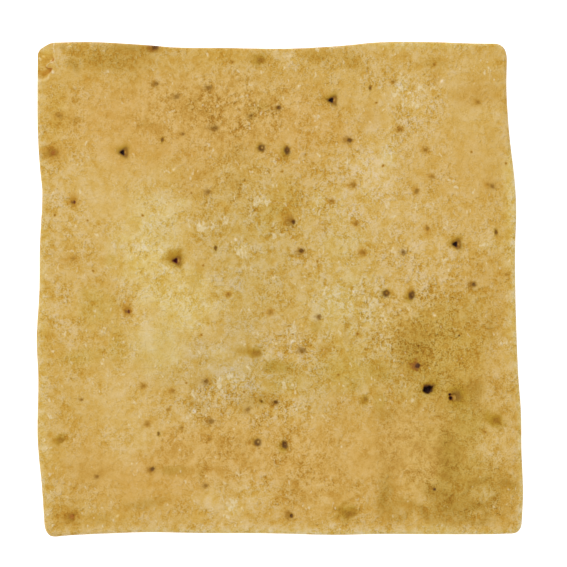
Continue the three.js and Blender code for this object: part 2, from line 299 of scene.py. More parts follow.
# Patches of colour, laid over each other in this order. The broad ones come first.
PATCHES = [Patch(*row) for row in (
    ("pale", -38, 20, 13, 14, 0.8), ("terra", -22, 35, 26, 10, 0.8), ("tan", -14, 36, 17, 8, 0.4),
    ("pale", 27, 34, 14, 13, 0.7), ("terra", 4, -37, 30, 12, 0.6), ("terra", -26, -36, 18, 10, 0.7),
    ("terra", 35, 22, 10, 14, 0.25), ("terra", 7, 33, 9, 8, 0.5), ("khaki", -6, 6, 11, 16, 0.9),
    ("khaki", 6, -18, 15, 7, 0.8), ("pale", 5, -12.5, 10, 3.5, 0.8), ("pale", 2, -25, 5, 2.5, 0.9),
    ("butter", -26, 9, 7, 11, 0.9), ("butter", -21, -3, 9, 6, 0.95), ("sage", -25, -12, 8, 6, 0.9),
    ("grey", -10, -16, 9, 6, 0.9), ("sage", 14, -3, 9, 8, 0.95), ("sage", 13, 12, 8, 7, 0.8),
    ("pale", 17, 20, 9, 9, 0.9), ("peach", 20, 24, 4.5, 8, 0.9), ("pale", 29, 8, 9, 6, 0.9),
    ("pale", 26, -1, 5, 4, 0.6), ("pale", -32, -26, 7, 9, 0.9), ("tan", -16, -35, 12, 4, 0.4),
    ("pale", -10, -44, 8, 5, 0.9), ("tan", 42, -24, 8, 26, 0.7), ("tan", 41, 0, 7, 5, 0.4),
    ("olive", 33, -13.5, 9, 10.5, 0.75, -15), ("honey", 37, -14, 6, 6, 0.5),
    ("amber", 29, -11, 5, 5, 0.6), ("moss", 14, -15, 8, 5, 0.45, -15), ("bark", 37.5, -37, 7.5, 13, 0.4),
    ("olive", 37.5, -37, 7.5, 13, 0.5), ("olive", 40, -26, 4, 5, 0.6), ("pale", 0, -50, 52, 1.6, 0.9),
    ("tan", 22, -36, 3, 13, 0.9), ("pale", -45, -4, 7, 7, 0.8), ("honey", -39, -8, 4, 7, 0.3),
    ("butter", 48.6, 12, 2, 34, 0.6, -2), ("butter", -49.6, 0, 1.6, 46, 0.5),
    ("butter", -49, -40, 2, 12, 0.3),
    # left back quarter
    ("amber", -36, 48, 8, 2.6, 0.8), ("treacle", -45, 49.9, 0.6, 0.7, 0.6),
    ("treacle", -43.8, 47, 0.8, 0.6, 0.6), ("treacle", -42.3, 46, 0.8, 1.6, 0.6, 20),
    ("cream", -43.6, 50.5, 0.3, 0.9, 0.7, 30), ("cream", -41.6, 50.5, 0.3, 0.9, 0.6),
    ("bark", -32.5, 47.5, 7, 3, 0.7), ("treacle", -30, 50, 5, 1.2, 0.5),
    ("rust", -25.9, 50.4, 1.4, 1.0, 0.6), ("ginger", -49.2, 44.6, 1.3, 0.8, 0.9, 15),
    ("ginger", -47.9, 45.1, 0.8, 0.6, 0.8, 40), ("pale", -45.7, 47.4, 1.4, 2.6, 0.7),
    ("butter", -48.4, 49.4, 1, 1.4, 0.6, 20), ("honey", -12, 48.5, 5, 1.8, 0.8),
    ("honey", -16, 49.5, 3, 1, 0.5), ("honey", -1, 45, 2, 1.2, 0.3), ("pale", 1.5, 47.5, 3.4, 2.6, 0.8),
    ("butter", 31, 51, 16, 1.3, 0.7), ("honey", -46.4, 36, 2.2, 7, 0.9),
    ("ginger", -47, 28.3, 2.6, 1.5, 0.7), ("ginger", -45.8, 36, 1.4, 1.1, 0.5),
    ("bark", -42.2, 34.9, 1, 0.8, 0.4), ("bark", -18, 38, 2.4, 1.4, 0.25), ("bark", -4, 38, 2, 1, 0.9),
    ("bark", -6, 36, 1.1, 1.2, 0.6), ("bark", -28, 34, 1.6, 1, 0.4), ("bark", -8, 28, 2.4, 2.4, 0.4),
    ("honey", -21.5, 23.6, 2.2, 1, 0.9), ("tan", -17.5, 23.5, 4, 3, 0.5, 20),
    ("bark", -9, 22, 1.4, 2.4, 0.4, 20), ("honey", -11.5, 17, 2, 1.2, 0.9, 20),
    ("mist", -20, 18, 1.4, 1.1, 0.8), ("mist", -25, 19, 1.6, 1.4, 0.5),
    ("mist", -3.6, 18.4, 1.6, 1.4, 0.6), ("khaki", -15, 13, 3, 2.6, 0.6), ("moss", -3, 14, 2, 3, 0.4),
    ("mist", -27, 13.5, 1.8, 2, 0.7), ("bronze", -22, 7.4, 1.6, 1, 0.6, -20),
    ("moss", -35, 6, 1.2, 1.4, 0.6), ("butter", -29, 5.5, 4, 3, 0.7),
    ("khaki", -23.5, 11.5, 3.5, 3, 0.4), ("ginger", -43.2, 6.2, 2.4, 1.2, 0.5, 15),
    ("honey", -47.2, 0, 1.4, 1.8, 0.8), ("moss", -39.4, -1, 1.8, 1.6, 0.4),
    ("moss", -17.5, 2, 1.5, 2, 0.5), ("mist", -8, 8.6, 1.6, 0.8, 0.6), ("grey", -8.5, 1, 1.6, 3, 0.7),
    ("mist", -34, 9, 2, 2, 0.4),
    # right back quarter
    ("amber", 7.5, 48.5, 3, 1.4, 0.8), ("amber", 14.5, 47, 3, 1.6, 0.8, -30),
    ("amber", 32, 46.5, 3, 1.2, 0.8), ("tan", 32, 43.5, 1.2, 1.6, 0.6), ("honey", 43, 46.5, 3, 1, 0.8),
    ("tan", 41.2, 40, 5, 3.2, 0.7), ("bark", 41, 39, 1.1, 1, 0.6), ("mist", 25, 42, 1.6, 1.4, 0.7),
    ("peach", 28.5, 38.5, 3, 3, 0.7), ("mist", 22.6, 27, 1.8, 3, 0.6),
    ("mist", 17.8, 18.6, 1.8, 2.4, 0.7), ("peach", 19, 17, 4, 3.5, 0.6),
    ("mist", 7.6, 18, 1.6, 2.4, 0.6), ("mist", 12, 18, 2, 3, 0.4), ("olive", 0.5, 18, 3.4, 5, 0.6),
    ("honey", 0.5, 20, 3, 4, 0.5), ("honey", 2, 15, 3, 3.4, 0.4), ("tan", 8.5, 13, 2, 1.6, 0.5),
    ("pale", 7, 5.5, 4, 3, 0.4), ("pale", 18.5, -1, 3, 3, 0.4), ("tan", 18.5, 35.5, 3, 3, 0.5),
    ("pale", 27, 17, 12, 3.5, 0.8), ("butter", 48, 20, 1.6, 9, 0.6),
    ("ginger", 43.6, 21.6, 1.8, 1.3, 0.5), ("pale", 31, 2, 7, 5, 0.35), ("pale", 42.5, 11.5, 4, 3, 0.6),
    ("pale", 43, 35.5, 5, 3, 0.7), ("ginger", 46.6, 3, 1.8, 1.3, 0.5), ("honey", 46.5, 2.5, 3, 4, 0.5),
    ("sage", 44.5, 9, 3, 1.6, 0.4),
    # left front quarter
    ("moss", -38, -4, 4, 4, 0.6, 25), ("moss", -41, -14, 5, 1.8, 0.6, 10),
    ("moss", -34, -11, 1.4, 5, 0.5), ("mist", -28.5, -8, 2.6, 1.8, 0.6),
    ("mist", -18, -7, 2.2, 1.8, 0.8), ("grey", -8, -8, 4, 3, 0.6), ("mist", -13, -13, 2.4, 1.4, 0.4),
    ("mist", -10, -19, 2, 1.6, 0.5), ("pale", -14, -22, 7, 1.8, 0.6), ("pale", -20, -26, 6, 3, 0.5),
    ("bark", -15.6, -19.1, 1.8, 1, 0.6), ("bark", -4.5, -23, 4, 1.4, 0.8),
    ("bark", -7, -24.8, 1.2, 1, 0.5), ("moss", 1, -19.6, 3.6, 1.6, 0.6),
    ("bronze", -7, -12.8, 2, 0.9, 0.6), ("bronze", -1, -16, 2.4, 0.9, 0.7, -5),
    ("olive", -0.5, -16, 3.4, 1.3, 0.8, -5), ("tan", -41, -37, 4, 3, 0.6),
    ("amber", -43.5, -46.6, 3.4, 2.4, 0.6), ("bark", -17, -23.5, 2.4, 1.4, 0.4),
    ("mist", -2.5, -13.5, 1.2, 1, 0.5), ("tan", -41, -42, 6, 1.6, 0.5, 40),
    ("amber", -37, -47.4, 2.4, 1.2, 0.7), ("bark", -27.5, -44.2, 4.6, 1.2, 0.7, 8),
    ("bark", -22, -37.6, 3.4, 1, 1.0), ("bark", -16.5, -38, 1, 2, 0.4),
    ("tan", -11.5, -41.5, 2.4, 3, 0.5), ("pale", -5.5, -42.5, 3, 2.5, 0.5),
    ("tan", -8.5, -32, 2, 1.6, 0.8), ("mist", -9.8, -45.2, 2, 1.6, 0.4),
    ("peach", -14, -43, 3, 2, 0.5, 30), ("peach", -17, -47, 2, 1.4, 0.5), ("pale", -36, -21, 5, 3, 0.4),
    ("honey", -46.5, -35, 1.4, 3, 0.3), ("grey", -22.5, -18.5, 3, 2.5, 0.5),
    ("pale", -29.5, -30, 3.5, 3.5, 0.7), ("peach", -29.5, -6.5, 3, 3, 0.5),
    ("honey", -47.5, -12.5, 2, 3, 0.4),
    # right front quarter
    ("mist", 11, -1, 2, 2, 0.3), ("mist", 14.5, -4, 2.4, 2.4, 0.5), ("mist", 19, -4, 2, 3, 0.3),
    ("olive", 7.5, -8, 1.2, 1.2, 0.6), ("amber", 9.4, -12.4, 1.8, 1.4, 0.8),
    ("moss", 13, -17, 4, 3, 0.6), ("olive", 15.4, -19.5, 1, 1.4, 0.5), ("olive", 20.5, -17, 3, 2, 0.6),
    ("mist", 22, -12, 1, 1, 0.8), ("treacle", 28, -12.5, 3.4, 3.2, 0.35), ("amber", 31, -6, 2, 1.6, 0.8),
    ("bark", 26, -17, 1.6, 2, 0.5), ("amber", 38, -8.5, 2, 1.2, 0.8), ("bark", 43.4, -8, 1, 3, 0.9),
    ("moss", 41, -3, 3, 3, 0.3), ("treacle", 40.6, -22, 1.8, 3.2, 0.8, 10),
    ("bark", 22.4, -26, 2, 1.8, 0.9), ("olive", 20.8, -23.4, 1.4, 1.8, 0.6),
    ("tan", 29, -25.5, 6, 3, 0.5), ("tan", 32, -28, 3, 1.4, 0.5), ("bark", 21.9, -42, 2, 4.8, 0.6),
    ("treacle", 21.6, -43, 1.1, 3.6, 0.7, -10), ("tan", 25, -31, 4, 4, 0.6),
    ("tan", 30.5, -37, 3, 5, 0.7), ("treacle", 34.6, -33, 2, 2.4, 0.95),
    ("treacle", 35.2, -37.5, 2.4, 3, 0.95), ("treacle", 35, -45, 2.8, 3.4, 1.0),
    ("treacle", 32, -42, 2.2, 1.8, 0.85), ("pale", 44, -32, 4.5, 3.5, 0.9),
    ("pale", 46, -15, 2.4, 5, 0.5), ("khaki", 42, -42, 3, 1.6, 0.5), ("treacle", 41, -44.8, 3, 1, 0.6),
    ("treacle", 40.6, -39.8, 2, 0.8, 0.6, 15), ("bark", 45.5, -46, 3, 2, 0.5),
    ("treacle", 47.4, -40.2, 2.8, 1, 0.9, -20), ("treacle", 41.4, -39.7, 2.4, 0.8, 0.5, 15),
    ("bark", 25, -45.6, 3, 2.4, 0.6), ("amber", 47.6, -41.5, 2, 1.4, 0.8, 20),
    ("treacle", 30, -46.5, 1, 2.2, 0.9, 35), ("bark", 2, -41, 2, 1.6, 0.4), ("tan", 3.5, -42, 4, 3, 0.7),
    ("sage", 33, -49.4, 4, 0.9, 0.6), ("tan", 12.5, -35, 2, 7, 0.4), ("khaki", 38.5, -46, 1.2, 1, 0.3),
    ("bark", 36.5, -48.2, 3, 1, 0.5), ("amber", 36.5, -18.5, 3, 2.5, 0.6),
    ("pale", 43.5, -23.5, 3, 3, 0.5), ("tan", 12.5, -24.5, 3, 3, 0.5),
)]

# Rings of thicker glaze left by slow bubbles. They lie on the ovals themselves.
RINGS = [Patch(*row) for row in (
    ("bark", 15, -8.4, 1.6, 2.2, 0.5, -20), ("bark", 17.4, -2.2, 1.3, 1.5, 0.4),
    ("bark", 25, -45.6, 2.4, 1.8, 0.9, 20), ("treacle", 40.5, -46.8, 2.6, 1.7, 0.6),
    ("treacle", 41.6, -42.2, 3.4, 2.4, 0.6, 10), ("bark", -9.8, 20.6, 1.6, 2.4, 0.4),
    ("amber", 47, -40.2, 3.2, 2, 0.6, -10), ("bark", 3, -10, 2, 2.4, 0.2),
    ("treacle", 27.6, -10.6, 2.4, 2, 0.4),
)]
PATCH_WARP = 3.2  # how far the patches' edges wander, at most
RING_WARP = 0.8  # the same for the rings
RING_WIDTH = 0.28  # of their line, as a share of their radius

# Where the face is granular, and where it is smooth: centre x, centre y, reach across, reach along
# and how much more or less granular than the rest it is.
GRAIN_PATCHES = [
    (-10, 37, 12, 5, 0.6), (4, 17, 15, 12, 0.6), (-10, -23.5, 14, 5, 1.0), (-12, 18, 6, 7, 0.3),
    (28, -7, 12, 14, 0.9), (19, 45, 4, 3, 0.6), (28, 39, 5, 4, 0.7), (6, -13, 8, 5, 0.7),
    (1, -38, 6, 9, 0.5), (-46, -43, 4, 4, 0.6), (-46, -5, 5, 8, 0.2), (47, 10, 3, 3, 0.4),
    (-46, 46, 4, 4, -0.5), (-37, 47.5, 6, 3, 0.8), (-35, 26, 6, 16, -0.6), (41, -42, 9, 8, 0.4),
    (-25, 26, 6, 6, -0.5), (41, 32, 7, 17, -0.7), (-25, -11, 6, 9, -0.5), (-43, -35.5, 7, 3, -0.5),
    (-30, -38, 9, 9, -0.5), (-35, -22, 9, 7, -0.5), (21, -33, 12, 8, -0.4), (-16, 6, 4, 4, -0.5),
    (7, -45, 3, 5, -0.4), (19, 38, 6, 4, -0.5),
]

# Where thick glaze is browner than elsewhere: centre x, centre y, reach across, reach along and how
# much.
BROWN_PATCHES = [
    (-15, 37, 19, 8, 0.9), (27, -34, 9, 8, 1.2), (-14, -33, 14, 7, 0.7), (8, -37, 9, 10, 0.7),
    (39, -28, 9, 18, 0.45), (-38, -38, 5, 5, 0.7), (-10, 24, 8, 8, 0.3), (-43, 36, 4, 4, 0.4),
    (40, 39, 4, 3, 0.5), (29, -9, 9, 9, 0.5),
]

LEAST_BROWNING = 0.08  # outside those patches

# Where pale crystals crowd in the glaze, or where the strength is negative are few: centre x, centre
# y, reach and strength.
FLECK_PATCHES = [
    (26, 40, 3.5, 0.7), (-10, -19, 4, 0.5), (-16, -24, 4, 0.5), (-9, 9, 2.4, 0.6), (18, -4.5, 5, 0.4),
    (2.5, -9.5, 2.4, 0.8), (3, 41, 1.4, 0.6), (-40, 30, 1.4, 0.6), (-29, 8, 1.6, 0.8),
    (2, -20, 1.8, 0.8), (25.6, 7, 2.4, 0.8), (-15, 13, 3, 0.6), (-3.4, 18.5, 2, 0.5),
    (0.6, 18.7, 1.4, 0.4), (-0.3, 11.6, 1.8, 0.8), (3.6, 10.4, 2, 0.6), (-12.6, -18.8, 1.6, 0.9),
    (-46.6, -42, 1.8, 0.3), (-45, 47, 5, -0.5), (-10, -45, 3, 0.5), (36, -38, 13, -0.35),
    (40, -22, 9, -0.3), (22, -34, 9, -0.25), (-37, 38, 11, -0.3), (41, 32, 8, -0.2),
    (-35, -32, 11, -0.2),
]

FEWEST_FLECKS = 0.06  # crowding outside those patches
PIT_CLEARING = 1.5  # how strongly a pit clears them away
PIT_CLEARING_REACH = 1.4  # times the pit's size

# The largest single crystals: those in and beside the chip by centre x and centre y, and how many
# more are scattered over the face. The cream of those in the chip is partly painted glints.
CHIP_CRYSTAL_GLINTS = [(-47.3, 47.1), (-48.9, 48.2), (-49.7, 47.7), (-47, 45), (-43.4, 50.3)]
CRYSTAL_COUNT = 38
CRYSTAL_GAP = 1.5  # between one of them and the next
CRYSTAL_REACH = 0.28
CRYSTAL_HEIGHT = 0.03

SCATTER_REACH = 0.95 * HALF  # how far from the centre, each way, things are scattered
SCATTER_TRIES = 2000


def smoothstep(low, high, value):
    share = np.clip((value - low) / (high - low), 0.0, 1.0)
    return share * share * (3.0 - 2.0 * share)


def wander(x, y, size, seed):
    """Smooth noise of about -1 to 1 over the face, with bumps about `size` millimetres apart."""
    angles = np.random.RandomState(seed).uniform(0.0, 2.0 * np.pi, (256, 256))
    u = x / size + 100.0
    v = y / size + 100.0
    i = np.floor(u).astype(int)
    j = np.floor(v).astype(int)
    u = u - i
    v = v - j

    def pull(di, dj):
        angle = angles[(i + di) % 256, (j + dj) % 256]
        return np.cos(angle) * (u - di) + np.sin(angle) * (v - dj)

    across = u * u * u * (u * (u * 6.0 - 15.0) + 10.0)
    along = v * v * v * (v * (v * 6.0 - 15.0) + 10.0)
    near = pull(0, 0) * (1.0 - across) + pull(1, 0) * across
    far = pull(0, 1) * (1.0 - across) + pull(1, 1) * across
    return 1.5 * (near * (1.0 - along) + far * along)


def wander_twice(x, y, size, seed):
    """The mean of two wanders, the second with bumps half as far apart."""
    return 0.5 * wander(x, y, size, seed) + 0.5 * wander(x, y, 0.5 * size, seed + 1)


def turned(x, y, turn):
    """(x, y) along axes that are turned by `turn` degrees."""
    angle = math.radians(turn)
    return math.cos(angle) * x + math.sin(angle) * y, math.cos(angle) * y - math.sin(angle) * x


def oval_distance(x, y, centre_x, centre_y, across, along, turn=0.0):
    """Distance from an oval's centre: 1 on the oval itself."""
    u, v = turned(x - centre_x, y - centre_y, turn)
    return np.hypot(u / across, v / along)


def patch_weight(x, y, *oval):
    """1 at the middle of an oval patch and falling smoothly to nothing around its edge."""
    return np.exp(-(oval_distance(x, y, *oval) ** 3))


def line_weight(value, middle, width, strength=1.0):
    """A soft line of this strength along the middle value, falling to nothing beyond its width."""
    return strength * np.exp(-(((value - middle) / width) ** 2))


# ======== The shape of the face ========


def with_patches(amount, x, y, patches, seed):
    """An amount at (x, y) after the changes by patches, whose edges wander."""
    wx = x + 2.0 * wander(x, y, 6.0, seed)
    wy = y + 2.0 * wander(x, y, 6.0, seed + 1)
    for centre_x, centre_y, across, along, change in patches:
        amount = amount + change * patch_weight(wx, wy, centre_x, centre_y, across, along)
    return amount


def grain(x, y):
    """How granular the face is at (x, y): about 1, less where it is smooth."""
    return np.clip(with_patches(1.0 + 0.2 * wander(x, y, 7.0, 5), x, y, GRAIN_PATCHES, 31), 0.4, 2.0)


def browning(x, y):
    """How much browner than elsewhere the glaze at (x, y) gets where it is thick."""
    return with_patches(np.full_like(x, LEAST_BROWNING), x, y, BROWN_PATCHES, 33)


def ripple(x, y):
    """The fine unevenness of the glaze, about -1 to 1: high where it is positive."""
    return wander_twice(x, y, 2.6, 13)


def pit_place(x, y, pit):
    """(x, y) in a pit's own frame: across it and along it."""
    across, along = turned((x - pit.x) / pit.size, (y - pit.y) / pit.size, pit.turn)
    return across, along / PIT_KINDS[pit.kind].long


def pit_distance(across, along, pit):
    """Distance from a pit's centre, warped so that its outline is not a plain oval."""
    kind = PIT_KINDS[pit.kind]
    lobes = wander((across + pit.x) / kind.lip, (along + pit.y) / kind.lip, 0.7, 81)
    points = np.cos(3.0 * np.arctan2(along, across))
    return np.hypot(across, along) * (1.0 + kind.lobes * lobes + kind.star * points)


def pit_height(x, y, pit):
    """Height change by a pit: flared lip, steep throat and low raised rim."""
    kind = PIT_KINDS[pit.kind]
    across, along = pit_place(x, y, pit)
    distance = pit_distance(across, along, pit)
    flare = 1.0 - smoothstep(0.5 * kind.lip, kind.lip, distance)
    swelling = line_weight(distance, 1.2 * kind.lip, 0.35 * kind.lip, kind.rim)
    distance = pit_distance(across - kind.shift, along, pit)
    bore = 1.0 - smoothstep(0.45 * kind.throat, 1.05 * kind.throat, distance)
    hollow = FLARE_SHARE * flare + (1.0 - FLARE_SHARE) * bore
    return pit.size * (swelling - kind.depth * hollow)


def colour_pit(tint, x, y, pit):
    """Lays a pit's colours over the tint at (x, y): its stains, and in some kinds painted shade and painted
    light.
    """
    across, along = pit_place(x, y, pit)
    for row in PIT_KINDS[pit.kind].pit_colours:
        stain = PitColour(*row)
        distance = pit_distance(across - stain.across, along - stain.along, pit) / stain.reach
        crispness = CRISP if stain.colour in CRISP_COLOURS else SOFT
        paint(tint, stain.share * np.exp(-(distance**crispness)), stain.colour)


def crystal_share(x, y):
    """1 on the large crystals, falling to nothing round them."""
    share = np.zeros_like(x)
    for centre_x, centre_y in CRYSTALS:
        near = np.hypot(x - centre_x, y - centre_y) < 3.0 * CRYSTAL_REACH
        oval = (centre_x, centre_y, CRYSTAL_REACH, 1.5 * CRYSTAL_REACH, 20.0 * centre_y)
        share[near] += patch_weight(x[near], y[near], *oval)
    return share


def near_pit(x, y, pit):
    """Which of the points lie near enough to a pit to be changed by it."""
    kind = PIT_KINDS[pit.kind]
    reach = pit.size * max(kind.lip, PitColour(*kind.pit_colours[0]).reach) * max(1.0, kind.long)
    return np.hypot(x - pit.x, y - pit.y) < PIT_INFLUENCE * reach


def face_height(x, y):
    """Height of the face over (x, y), without its softened edge."""
    z = np.full_like(x, FACE)
    for centre_x, centre_y, reach, height in SWELLS:
        z += height * np.exp(-((x - centre_x) ** 2 + (y - centre_y) ** 2) / reach**2)
    way = np.maximum(np.abs(x), np.abs(y)) / HALF
    z -= PILLOW_DROP * smoothstep(PILLOW_START, 1.0, way)
    z += SLOW_WAVE * wander(x, y, 9.0, 11) + QUICK_WAVE * wander(x, y, 4.0, 12)
    z += RIPPLE_HEIGHT * grain(x, y) * ripple(x, y)
    z += CRYSTAL_HEIGHT * crystal_share(x, y)
    for pit in PITS:
        near = near_pit(x, y, pit)
        z[near] += pit_height(x[near], y[near], pit)
    return z


def chip_share(x, y):
    """How far out from the chip's centre (x, y) is: 1 on its ridge, less inside it."""
    across = (x - CHIP_CENTRE[0]) / CHIP_ACROSS
    down = (CHIP_CENTRE[1] - y) / CHIP_DOWN
    way = (np.abs(across) ** 4 + np.abs(down) ** 4) ** (1.0 / 4.0)
    return way * (1.0 + 0.1 * wander(x, y, 1.3, 21)) + 0.3 * patch_weight(x, y, *CHIP_TONGUE)


def chipped(x, y, z):
    """Height after the chip is taken out of the left back corner."""
    share = chip_share(x, y)
    level = FACE - CHIP_DEEP * np.sqrt(np.clip(1.0 - share**2, 0.0, 1.0))
    level += CHIP_ROUGHNESS * wander(x, y, 1.2, 22) + CRYSTAL_HEIGHT * crystal_share(x, y)
    cut = np.where(share < 1.0, np.minimum(z, level), z)
    ridge = line_weight(share, *CHIP_RIDGE)
    return cut + np.where(z > FACE - 1.0, ridge, 0.0)


# ======== The colour of the face ========


def linear(colour):
    """A 0 to 255 colour as the linear colour that Blender works in."""
    value = np.asarray(colour, float) / 255.0
    return np.where(value <= 0.04045, value / 12.92, ((value + 0.055) / 1.055) ** 2.4)


def paint(tint, weight, name):
    """Lays a colour over the tint, at each point by its weight."""
    tint += np.clip(weight, 0.0, 1.0)[:, None] * (np.array(GLAZE_COLOURS[name]) - tint)


def face_tint(x, y):
    """The glaze's colour over (x, y), from the patches and the pits, as rows of red, green and blue."""
    shift_x, shift_y = (
        0.6 * wander(x, y, 7.0, slow) + 0.5 * wander(x, y, 3.0, quick) + 0.3 * wander(x, y, 1.4, fine)
        for slow, quick, fine in ((41, 42, 45), (43, 44, 46))
    )
    dapple = wander_twice(x, y, 2.2, 47)
    tint = np.tile(np.array(GLAZE_COLOURS["ochre"], float), (len(x), 1))
    for patch in PATCHES:
        warp = min(PATCH_WARP, 0.5 * min(patch.across, patch.along))
        weight = patch_weight(x + warp * shift_x, y + warp * shift_y, *patch.oval)
        paint(tint, patch.strength * weight * (1.0 + 0.5 * dapple), patch.colour)
    for ring in RINGS:
        way = oval_distance(x + RING_WARP * shift_x, y + RING_WARP * shift_y, *ring.oval)
        paint(tint, line_weight(way, 1.0, RING_WIDTH, ring.strength), ring.colour)
    for pit in PITS:
        near = near_pit(x, y, pit)
        stained = tint[near]
        colour_pit(stained, x[near], y[near], pit)
        tint[near] = stained
    # Cream on the large crystals; on those in the chip it is partly painted glints.
    paint(tint, 0.9 * crystal_share(x, y), "cream")
    return tint


# How much each cause adds to the thickness of the glaze, on the scale of THINNING below.
SLOW_THICKNESS, QUICK_THICKNESS = 1.1, 1.2  # broad unevenness
HOLLOW_THICKNESS = 3.8  # hollows of the ripple
CHIP_THICKNESS = 2.4
EDGE_THICKNESS = 0.4  # near the edge
EDGE_MOTTLING = 2.9  # the same, by its blotches
EDGE_THINNING = 0.6  # where it has run off the edge
SIDE_THINNING = 1.2  # just under the edge
BEAD_THICKNESS = 2.0  # in the bead along its lower end


def edge_paleness(x, y, from_edge):
    """How much the glaze has thinned towards the edge: not at all along the back edge."""
    back = smoothstep(0.9, 0.98, y / HALF) * (1.0 - smoothstep(0.93, 0.99, np.abs(x) / HALF))
    wave = 0.75 + 0.5 * wander(x, y, 5.0, 51)
    return (1.0 - back) * wave * (1.0 - smoothstep(0.2, 3.0, from_edge))


def glaze_depth(x, y, from_edge):
    """How much thicker than usual the glaze is at (x, y): it pools in hollows and the chip, and is
    blotchy near the edge. `from_edge` is how far from the edge the point is, inwards or down."""
    lumpy = 0.5 + 0.5 * grain(x, y)
    slow = SLOW_THICKNESS * wander(x, y, 5.0, 56)
    quick = QUICK_THICKNESS * wander(x, y, 3.2, 57)
    uneven = lumpy * (slow + quick - HOLLOW_THICKNESS * ripple(x, y))
    in_chip = 1.0 - smoothstep(0.75, 1.0, chip_share(x, y))
    pooled = CHIP_THICKNESS * in_chip * (1.0 - crystal_share(x, y))
    near_edge = 1.0 - smoothstep(1.0, 5.0, from_edge)
    mottled = (EDGE_THICKNESS + EDGE_MOTTLING * wander(x, y, 1.4, 58)) * near_edge
    return uneven + pooled + mottled - EDGE_THINNING * edge_paleness(x, y, from_edge)


def side_depth(down):
    """How much thicker the glaze is on the sides: thin under the edge, and thick in the hanging bead."""
    return BEAD_THICKNESS * smoothstep(0.7, 0.95, down) - SIDE_THINNING * smoothstep(0.0, 0.3, down)


def fleck_density(x, y):
    """How crowded the pale crystals in the glaze are at (x, y)."""
    amount = np.full_like(x, FEWEST_FLECKS)
    for centre_x, centre_y, reach, strength in FLECK_PATCHES:
        amount += strength * patch_weight(x, y, centre_x, centre_y, reach, reach)
    for pit in PITS:
        reach = PIT_CLEARING_REACH * pit.size
        amount -= PIT_CLEARING * patch_weight(x, y, pit.x, pit.y, reach, reach)
    return np.clip(amount, -1.0, 1.0)


def off_pits(x, y):
    """1 where (x, y) is clear of every pit, and 0 elsewhere."""
    gaps = [np.hypot(x - pit.x, y - pit.y) for pit in PITS]
    return 1.0 * (np.min(gaps, axis=0) > MOTE_GAP)


def crystal_liking(x, y):
    """The chance that a large crystal grows at (x, y): it is high where small ones crowd."""
    return np.maximum(fleck_density(x, y), 0.0) ** 2


def scattered(count, gap, seed, liking):
    """Places on the face picked by chance, at least `gap` apart and more of them where `liking`, a
    function of x and y, comes near 1."""
    draw = np.random.RandomState(seed)
    x, y = draw.uniform(-SCATTER_REACH, SCATTER_REACH, (2, SCATTER_TRIES))
    picked = draw.uniform(size=SCATTER_TRIES) < liking(x, y)
    places = []
    for place in zip(x[picked], y[picked]):
        if len(places) < count and all(math.dist(place, other) > gap for other in places):
            places.append(place)
    return places


# The two things that are scattered by chance. The motes come first, as crystals keep clear of them.
PITS += [Pit("mote", x, y, MOTE_SIZE) for x, y in scattered(MOTE_COUNT, MOTE_GAP, 91, off_pits)]
CRYSTALS = CHIP_CRYSTAL_GLINTS + scattered(CRYSTAL_COUNT, CRYSTAL_GAP, 92, crystal_liking)


def unfolded(x, y, z):
    """Where points of the sides would lie if the sides were folded up level with the face."""
    below = np.maximum(WIDEST - z, 0.0)
    return x * (1.0 + below / HALF), y * (1.0 + below / HALF)


# ======== Meshes ========


def cad_ring():
    """The CAD tile's widest ring of points, anticlockwise."""
    points = np.array([vertex.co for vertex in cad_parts["tile"].data.vertices]) / MM
    outside = np.maximum(np.abs(points[:, 0]), np.abs(points[:, 1])) > 0.9 * HALF
    level = np.abs(points[:, 2] - WIDEST) < 0.2 * EDGE_DROP
    ring = np.unique(np.round(points[outside & level, :2], 3), axis=0)
    return ring[np.argsort(np.arctan2(ring[:, 1], ring[:, 0]))]


LOOP_STEPS = 12  # points of the smoothed outline for each point of the CAD's
EDGE_STEPS = 5  # rings of the softened edge
COAT_LEVELS = (0.17, 0.34, 0.51, 0.68, 0.84, 0.95)  # rings down the glazed side, from its top to its end
COAT_INSET = 0.04  # how far inside the CAD's side the glaze runs, above its bead
BEAD = 0.14  # how far the bead along the glaze's lower end stands out
LIP_PROUD, LIP_HANG = 0.1, 0.25  # how far the lip under the bead stands out and hangs down
LIP_RINGS = ((0.25, 0.12), (0.6, 0.0), (0.95, 0.1))  # its rings: share of the way in, and height
COAT_UNEVENNESS = 0.05  # of the glaze on the sides
LOWEST_DRIP = 1.5
SEAM_CLEARANCE = 0.4  # between the seam and the highest end of the glaze
BACK_HOLLOW = 0.03  # mean height of the back's fine hollows
SEAM_GAP = 0.01
FOOT_WEAR = 0.12  # how much of the lower edge's chamfer is worn rounder
ROOM_FOR_GLAZE = 0.3  # how far in the clay has gone at the seam
SAND_HEIGHT, CLAY_WAVE = 0.07, 0.05  # of the clay's sides
CLAY_LEVELS = (0.2, 0.4, 0.6, 0.75, 0.9, 1.0)  # rings up the clay side, from its foot to the glaze's end


def smooth_loop(ring, steps):
    """A closed Catmull-Rom curve through the ring's points, `steps` points for each of them."""
    before, after, beyond = (np.roll(ring, -n, axis=0) for n in (-1, 1, 2))
    t = np.arange(steps)[None, :, None] / steps
    p0, p1, p2, p3 = (p[:, None, :] for p in (before, ring, after, beyond))
    curve = 0.5 * (
        2.0 * p1
        + (p2 - p0) * t
        + (2.0 * p0 - 5.0 * p1 + 4.0 * p2 - p3) * t**2
        + (3.0 * p1 - p0 - 3.0 * p2 + p3) * t**3
    )
    return curve.reshape(-1, 2)


